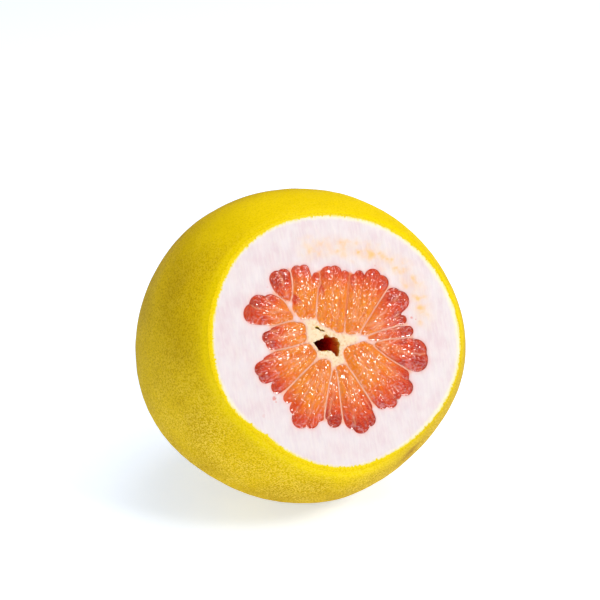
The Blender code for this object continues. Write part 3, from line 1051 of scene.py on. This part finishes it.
@dataclass
class Pith:
    """The white pith, with the membranes, the core and the spaces that the pulp fills."""

    columns: int = 360
    rows: int = 24
    inset: float = 2.16 * MM
    grid: float = 0.95 * MM
    room: float = 0.04 * MM
    core_depth: float = 48.0 * MM
    core_end_share: float = 0.62
    core_taper: float = 1.8
    core_rough: float = 0.25 * MM
    core_steps: int = 14
    # How deep the slit is, as a share of the core
    slit_share: float = 0.3
    tear: float = 0.14 * MM
    lip: float = 0.35 * MM
    # Depth of the first loop of a pocket's wall below the cut
    wall_start: float = 2.6 * MM
    finish: PithFinish = field(default_factory=PithFinish)
    # The open core and the slit beside it, in millimetres on the cut face
    star: tuple = (
        (-10.0, 1.8), (-7.4, 2.6), (-4.9, 2.9), (-4.4, 3.9), (-3.6, 4.9), (-2.4, 3.5), (-0.8, 2.8),
        (0.4, 2.7), (1.2, 2.0), (2.2, 0.6), (2.4, -1.0), (1.7, -3.2), (1.2, -5.6), (0.0, -6.4),
        (-0.9, -4.9), (-2.0, -3.4), (-3.3, -2.9), (-4.8, -3.0), (-6.2, -2.8), (-7.8, -2.3),
        (-8.4, -1.2), (-9.0, 0.4),
    )
    slit: tuple = (
        (-8.2, 8.6), (-7.2, 8.9), (-6.0, 7.9), (-4.9, 7.2), (-3.8, 6.0), (-3.9, 5.4), (-5.0, 6.0),
        (-6.3, 6.7), (-7.6, 7.8),
    )
    stain_arc: tuple = ((-5.0, 43.0), (10.0, 41.0), (25.0, 36.0), (36.0, 29.0), (42.0, 18.0), (44.0, 5.0))
    core_middle: tuple = (-3.0, 1.5)

    def ragged(self, outline: tuple, count: int, seed: int) -> Array:
        """A torn edge through an outline's points.

        Args:
            outline: The outline in millimetres, clockwise or counterclockwise.
            count: How many points the edge has.
            seed: Picks the tears.

        Returns:
            The edge's points, counterclockwise.
        """
        loop = evenly_spaced(np.array(outline) * MM, count)
        ahead = np.roll(loop, -1, axis=0)
        area = (loop[:, 0] * ahead[:, 1] - ahead[:, 0] * loop[:, 1]).sum()
        loop = loop if area > 0.0 else loop[::-1]
        return loop + self.tear * np.stack([ripples(loop, 1.3 * MM, seed + axis) for axis in (0, 1)], axis=1)

    def stains(self, flat: Array) -> Array:
        """How much juice has stained the pith.

        Args:
            flat: Points on the cut face.

        Returns:
            The stain at each, between 0 and 1.
        """
        nearest = distance_to(flat, np.array(self.stain_arc) * MM, closed=False)
        patches = 0.35 + 0.65 * eased(ripples(flat, 5.0 * MM, 21), -1.2, 1.6)
        return 0.9 * bell(nearest, 4.2 * MM) * patches

    def grades(
        self, flat: Array, holes: list[Array], rim: Array, pith_rim: Array
    ) -> dict[str, Array]:
        """Grades of the cut face.

        Args:
            flat: Points on the cut face.
            holes: The outlines of the pulp.
            rim: The rim of the rind.
            pith_rim: The rim of the pith.

        Returns:
            The grades by name.
        """
        away = np.sort([distance_to(flat, hole) for hole in holes], axis=0)
        narrow = away[0] + away[1]
        core = np.linalg.norm(flat - np.array(self.core_middle) * MM, axis=1)
        bearing = np.degrees(np.arctan2(flat[:, 1] - HUB[1], flat[:, 0] - HUB[0]))
        juicy = 0.95 * eased(-narrow, -2.6 * MM, -1.0 * MM)
        merged = juicy * eased(-np.abs(bearing - 66.0), -34.0, -18.0) * eased(core, 9.0 * MM, 13.0 * MM)
        return {
            "rim": distance_to(flat, rim) / MM,
            "gap": distance_to(flat, pith_rim) / MM,
            "juicy": juicy,
            "merged": 0.9 * merged,
            "blush": 0.6 * np.exp(-away[0] / (0.7 * MM)),
            "core": eased(-core, -17.0 * MM, -12.0 * MM),
            "stain": self.stains(flat),
        }

    def build(self, outlines: list[Array]) -> bpy.types.Object:
        """Model the pith.

        Args:
            outlines: The outline of each segment's pulp on the cut face.

        Returns:
            The pith's object.
        """
        body = Body()
        bowl = FORM.bowl(self.columns, self.rows, self.inset)
        rim = bowl[-1][:, :2]
        skin_rim = FORM.bowl(self.columns, 1, 0.0)[-1][:, :2]
        pockets = [drawn_in(outline, -self.room) for outline in outlines]
        core = self.ragged(self.star, 150, 31)
        slit = self.ragged(self.slit, 60, 41)
        holes = [*pockets, core, slit]
        self.add_face(body, rim, skin_rim, pockets, holes)
        start = len(rim)
        for pocket in pockets:
            loop = np.arange(start, start + len(pocket))
            start += len(pocket)
            self.add_well(body, loop, FLESH.buried(pocket, self.wall_start, SWELL_DEPTHS[-1])[::-1])
        for hole, depth in ((core, self.core_depth), (slit, self.slit_share * self.core_depth)):
            loop = np.arange(start, start + len(hole))
            start += len(hole)
            self.add_hollow(body, loop, hole, depth)
        before = body.carry_on(np.arange(len(rim)), bowl[-2::-1], outwards=True)
        body.cap(before, np.array((0.0, 0.0, bowl[0][0, 2])), upwards=False)
        pith = body.make("pith_body")
        pith.data.materials.append(self.finish.material())
        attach(pith, "root")
        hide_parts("pith")
        return pith

    def add_face(
        self, body: Body, rim: Array, skin_rim: Array, pockets: list[Array],
        holes: list[Array],
    ) -> None:
        """The cut face between the rim and the holes, with its low relief.

        Args:
            body: The pith's body, still empty: the rim and the holes become its first points.
            rim: The outer edge of the face.
            skin_rim: The edge of the skin on the cut.
            pockets: The spaces for the pulp.
            holes: The pockets, the core and the slit.
        """
        edges = [rim, *holes]
        lips = [drawn_in(hole, -self.lip) for hole in holes]
        reach = np.abs(rim).max()
        across = np.arange(-reach, reach, self.grid)
        up = np.arange(-reach, reach, self.grid * math.sqrt(3.0) / 2.0)
        spots = np.array([(x + (row % 2) * self.grid / 2.0, y) for row, y in enumerate(up) for x in across])
        spots = spots[inside(spots, drawn_in(rim, 0.5 * MM))]
        for lip in lips:
            spots = spots[~inside(spots, drawn_in(lip, -0.4 * MM))]
        kept_lips = []
        for number, lip in enumerate(lips):
            clear = np.full(len(lip), True)
            for other, hole in enumerate(holes):
                if other != number:
                    near = np.linalg.norm(hole.mean(axis=0) - lip, axis=1) < 30.0 * MM
                    clear[near] &= ~inside(lip[near], drawn_in(hole, -0.3 * MM))
            kept_lips.append(lip[clear])
        flat = np.vstack([*edges, *kept_lips, spots])
        rings, start = [], 0
        for edge in edges:
            rings.append(list(range(start, start + len(edge))))
            start += len(edge)
        rings = [rings[0], *(ring[::-1] for ring in rings[1:])]
        found = delaunay_2d_cdt([Vector(p) for p in flat], [], rings, 1, 1e-9)
        vertices, triangles = np.array([tuple(v) for v in found[0]]), np.array(found[2])
        middles = vertices[triangles].mean(axis=1)
        keep = np.full(len(triangles), True)
        for hole in holes:
            keep &= ~inside(middles, hole)
        grades = self.grades(vertices, pockets, skin_rim, rim)
        edge_distance = np.min([distance_to(vertices, hole) for hole in holes], axis=0)
        rim_distance = distance_to(vertices, rim)
        height = -0.14 * MM * np.exp(-edge_distance / self.lip)
        relief = 0.1 * MM * ripples(vertices * (1.0, 0.25), 3.2 * MM, 51)
        relief += 0.08 * MM * ripples(vertices, 9.0 * MM, 52)
        relief += 0.22 * MM * grades["core"] * ripples(vertices, 1.7 * MM, 53)
        height += relief * eased(rim_distance, 1.1 * MM, 3.5 * MM) - 0.05 * MM
        height -= 0.12 * MM * grades["juicy"]
        body.add(on_cut(vertices, height), **grades)
        body.faces.extend(triangles[keep].tolist())

    def add_well(self, body: Body, loop: Array, sections: list[Array]) -> None:
        """The walls and floor of a space that pulp fills, below a hole of the cut face."""
        loop = body.carry_on(loop, sections, juicy=0.8)
        body.cap(loop, sections[-1].mean(axis=0), upwards=True)

    def add_hollow(self, body: Body, loop: Array, hole: Array, depth: float) -> None:
        """The walls and floor of an empty space in the core, darker further in.

        Args:
            body: The pith's body.
            loop: The numbers of the hole's points in it.
            hole: The hole's outline on the cut face.
            depth: How deep the space is.
        """
        for step in range(1, self.core_steps + 1):
            share = (step / self.core_steps) ** self.core_taper
            swell = 1.0 + (self.core_end_share - 1.0) * share
            level = -depth * share
            wall = on_cut(hole, level)
            rough = np.stack([ripples(wall, 3.0 * MM, 61 + axis) for axis in (0, 1)], axis=1)
            ring = on_cut(HUB + (hole - HUB) * swell + self.core_rough * rough, level)
            shade = eased(np.array(-level), 0.2 * MM, 2.4 * MM)
            dark = eased(np.array(-level), 2.0 * MM, 13.0 * MM)
            loop = body.carry_on(loop, [ring], core=1.0, shade=float(shade), dark=float(dark))
        body.cap(loop, ring.mean(axis=0), upwards=True, shade=1.0, dark=1.0)


@dataclass
class Pulp:
    """The pulp of one segment: a bundle of juice sacs that end in round heads at the pith."""

    segment: Segment
    number: int
    outline: Array
    rings: int = 52
    sink: float = 1.5 * MM
    bulge: float = 0.6
    lip: float = -0.25 * MM
    shoulder: float = 0.9 * MM
    meeting: float = 0.5 * MM
    small_bulge: float = 0.46
    # How far the pulp ends above the floor of its pocket
    end_room: float = 0.3 * MM

    def domes(self, flat: Array) -> tuple[Array, Array]:
        """The main sacs.

        Args:
            flat: Points on the cut face.

        Returns:
            How high the sacs stand there, and how deep in a crease between two each point lies.
        """
        top, second = np.sort([
            radius * np.sqrt(np.clip(1.02 - (away / radius) ** 2, 0.0, None))
            for away, radius, _ in self.segment.measures(flat, FLESH.belly)
        ], axis=0)[:-3:-1]
        mixed = np.clip(0.5 + 0.5 * (top - second) / self.meeting, 0.0, 1.0)
        smooth = second + (top - second) * mixed + self.meeting * mixed * (1.0 - mixed) * 0.5
        crease = np.exp(-((top - second) / (0.35 * MM))) * (second > 0.3 * MM)
        return self.bulge * smooth, crease

    def small_sacs(self, flat: Array) -> tuple[Array, Array, Array]:
        """The small sacs that lie over the main ones, along the fan.

        Args:
            flat: Points on the cut face.

        Returns:
            Their height, how deep in a crease between two each point lies, and a value of each
            sac's own.
        """
        draw = np.random.default_rng(100 + self.number)
        thin, thick, short, long, per_area = self.segment.texture.value
        sacs = self.segment.sacs()
        ahead = np.roll(self.outline, -1, axis=0)
        area = abs((self.outline[:, 0] * ahead[:, 1] - ahead[:, 0] * self.outline[:, 1]).sum()) / 2.0
        best = np.full(len(flat), -1.0)
        runner_up = np.full(len(flat), -1.0)
        own = np.zeros(len(flat))
        for _ in range(int(area / MM**2 * per_area)):
            place = draw.uniform(0.0, len(sacs) - 1.0)
            first = min(int(place), len(sacs) - 2)
            mix = place - first
            tail, head = (sacs[first][end] * (1.0 - mix) + sacs[first + 1][end] * mix for end in (0, 1))
            run = head - tail
            along = run / np.linalg.norm(run)
            sideways = np.array((-along[1], along[0]))
            middle = tail + run * draw.uniform(-0.12, 1.12) + sideways * draw.normal(0.0, 1.3 * MM)
            radius = draw.uniform(thin, thick) * MM
            half = draw.uniform(short, long) * MM / 2.0
            turn = draw.normal(0.0, 0.16)
            along = math.cos(turn) * along + math.sin(turn) * sideways
            offset = flat - middle
            lengthwise = offset @ along
            crosswise = offset @ np.array((-along[1], along[0]))
            dome = 1.0 - (lengthwise / (half + radius)) ** 2 - (crosswise / radius) ** 2
            dome = np.where(dome > 0.0, dome * draw.uniform(0.4, 1.3), dome)
            newer = dome > best
            runner_up = np.where(newer, best, np.maximum(runner_up, dome))
            own = np.where(newer, draw.uniform(), own)
            best = np.maximum(best, dome)
        height = np.clip(best, 0.0, None)
        crease = np.exp(-np.clip(best - np.clip(runner_up, 0.0, None), 0.0, None) / 0.1)
        return height * (thin + thick) / 2.0 * MM * self.small_bulge, crease, own

    def build(self, material: bpy.types.Material) -> bpy.types.Object:
        """Model the pulp.

        Args:
            material: Its finish.

        Returns:
            The pulp's object.
        """
        body = Body()
        sections = FLESH.buried(self.outline, -self.lip, SWELL_DEPTHS[-1] - self.end_room)
        tip = body.add(sections[0].mean(axis=0)[None, :])[0]
        before = body.add(sections[0], reach=1.0)
        body.close(before, tip, upwards=False)
        before = body.carry_on(before, sections[1:-1], reach=0.6)
        middle = self.segment.middle()
        shares = np.concatenate([[0.0], (np.arange(1, self.rings) / self.rings) ** 1.25])
        flat = np.vstack([*(middle + (self.outline - middle) * (1.0 - share) for share in shares), middle])
        height, grades = self.top(flat)
        count = len(self.outline)
        points = on_cut(flat, height)
        for start in range(0, len(shares) * count, count):
            part = slice(start, start + count)
            grading = {name: values[part] for name, values in grades.items()}
            before = body.carry_on(before, [points[part]], **grading)
        body.cap(before, points[-1], upwards=True, **{name: values[-1:] for name, values in grades.items()})
        pulp = body.make(f"pulp_{self.number:02d}", 75.0)
        pulp.data.materials.append(material)
        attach(pulp, "root")
        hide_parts(f"segment_{self.number:02d}")
        return pulp

    def top(self, flat: Array) -> tuple[Array, dict[str, Array]]:
        """The cut surface of the pulp.

        Args:
            flat: Points on the cut face.

        Returns:
            How far each stands above the cut, and its grades.
        """
        measures = self.segment.measures(flat)
        nearest = np.argmin([away - radius for away, radius, _ in measures], axis=0)
        share = np.choose(nearest, [share for _, _, share in measures])
        domes, crease = self.domes(flat)
        small, seams, own = self.small_sacs(flat)
        edge = distance_to(flat, self.outline)
        round_edge = np.sqrt(np.clip(1.0 - (1.0 - np.clip(edge / self.shoulder, 0.0, 1.0)) ** 2, 0.0, 1.0))
        inner = -self.sink + 0.85 * domes + small + 0.07 * MM * ripples(flat, 1.9 * MM, 71)
        height = self.lip + (np.maximum(inner, self.lip - 0.2 * MM) - self.lip) * round_edge
        from_hub = np.linalg.norm(flat - HUB, axis=1)
        bearing = np.arctan2(flat[:, 1] - HUB[1], flat[:, 0] - HUB[0])
        outer = 0.45 * eased(from_hub / (38.0 * MM), 0.25, 1.05)
        reach = 0.25 * share + 0.5 * share**4 + outer - 0.6 * (self.segment.warmth - 0.35)
        seamed = eased(ripples(flat, 7.0 * MM, 81), -0.9, 0.6) * (share > 0.1)
        rim_veil = 0.35 * np.exp(-edge / (0.25 * MM)) * (share < 0.9)
        # The crease grade carries the painted shade between sacs
        grades = {
            "reach": np.clip(reach, 0.0, 1.0),
            "crease": np.clip(0.6 * crease + 0.35 * seams, 0.0, 1.0) * round_edge,
            "veil": np.maximum(rim_veil, 0.5 * crease * round_edge * seamed),
            "across": bearing * from_hub / MM,
            "along": from_hub / MM,
            "own": own,
        }
        return height, grades


@dataclass
class Studio:
    """A plain pale floor, soft lights and the camera."""

    floor_side: float = 6.0
    azimuth: float = -22.0
    elevation: float = 23.62
    distance: float = 0.9
    lens: float = 116.61
    aim_right: float = 0.39 * MM
    aim_up: float = 20.5 * MM
    # The lights: (name, place, width, power)
    lights: tuple = (
        ("top", (0.35, 0.15, 1.35), 1.1, 9.0),
        ("front", (0.6, -0.95, 0.9), 0.34, 8.6),
        ("left", (-0.95, -0.8, 0.7), 0.2, 3.0),
    )
    sky: float = 0.34
    # The floor's own soft glow, which keeps the shadow light and grey
    glow: tuple = (0.64, 0.77, 1.0, 1.0)
    glow_strength: float = 0.54

    def light(self, name: str, place: tuple, side: float, power: float) -> None:
        """A square soft light that faces the fruit.

        Args:
            name: The light's name.
            place: Where it hangs.
            side: How wide it is.
            power: Its power in watts.
        """
        lamp = bpy.data.lights.new(name, "AREA")
        lamp.size = side
        lamp.energy = power
        thing = bpy.data.objects.new(name, lamp)
        thing.location = place
        thing.rotation_euler = (Vector(FORM.middle) - Vector(place)).to_track_quat("-Z", "Y").to_euler()
        bpy.context.scene.collection.objects.link(thing)

    def floor(self) -> None:
        """The pale floor, with a faint grain."""
        half = self.floor_side / 2.0
        mesh = bpy.data.meshes.new("floor")
        corners = [(-half, -half, 0.0), (half, -half, 0.0), (half, half, 0.0), (-half, half, 0.0)]
        mesh.from_pydata(corners, [], [(0, 1, 2, 3)])
        floor = bpy.data.objects.new("floor", mesh)
        bpy.context.scene.collection.objects.link(floor)
        look = Finish("pale floor")
        look.set(
            Base_Color=look.blend(look.noise(3.0), tone(243, 248, 255), tone(242, 247, 254)),
            Roughness=0.9, Specular_IOR_Level=0.1,
            Emission_Color=self.glow, Emission_Strength=self.glow_strength,
        )
        mesh.materials.append(look.material)

    def camera(self) -> None:
        """The camera, at the height and distance that a photographer would stand."""
        turn, rise = math.radians(self.azimuth), math.radians(self.elevation)
        back = Vector((math.sin(turn) * math.cos(rise), -math.cos(turn) * math.cos(rise), math.sin(rise)))
        right = Vector((math.cos(turn), math.sin(turn), 0.0))
        up = back.cross(right)
        lens = bpy.data.cameras.new("camera")
        lens.lens = self.lens
        lens.sensor_width = 36.0
        lens.clip_start, lens.clip_end = 0.05, 20.0
        camera = bpy.data.objects.new("camera", lens)
        aim = Vector(FORM.middle) + right * self.aim_right + up * self.aim_up
        camera.location = aim + back * self.distance
        camera.rotation_euler = (-back).to_track_quat("-Z", "Y").to_euler()
        bpy.context.scene.collection.objects.link(camera)
        bpy.context.scene.camera = camera

    def build(self) -> None:
        """Set up the floor, the lights and the camera."""
        self.floor()
        for light in self.lights:
            self.light(*light)
        world = bpy.data.worlds.new("studio")
        world.use_nodes = True
        sky = world.node_tree.nodes["Background"].inputs
        sky["Color"].default_value = (1.0, 1.0, 1.0, 1.0)
        sky["Strength"].default_value = self.sky
        bpy.context.scene.world = world
        bpy.context.scene.view_settings.view_transform = "Standard"
        self.camera()


def main() -> None:
    """Dress the pomelo and set up the studio."""
    logging.basicConfig(level=logging.INFO, format="%(name)s: %(message)s")
    Rind().build()
    outlines = [FLESH.outline(segment) for segment in SEGMENTS]
    LOG.info("outlines of the segments found")
    Pith().build(outlines)
    wet = PulpFinish().material()
    for number, (segment, outline) in enumerate(zip(SEGMENTS, outlines), 1):
        Pulp(segment, number, outline).build(wet)
    Studio().build()


if __name__ == "__main__":
    main()
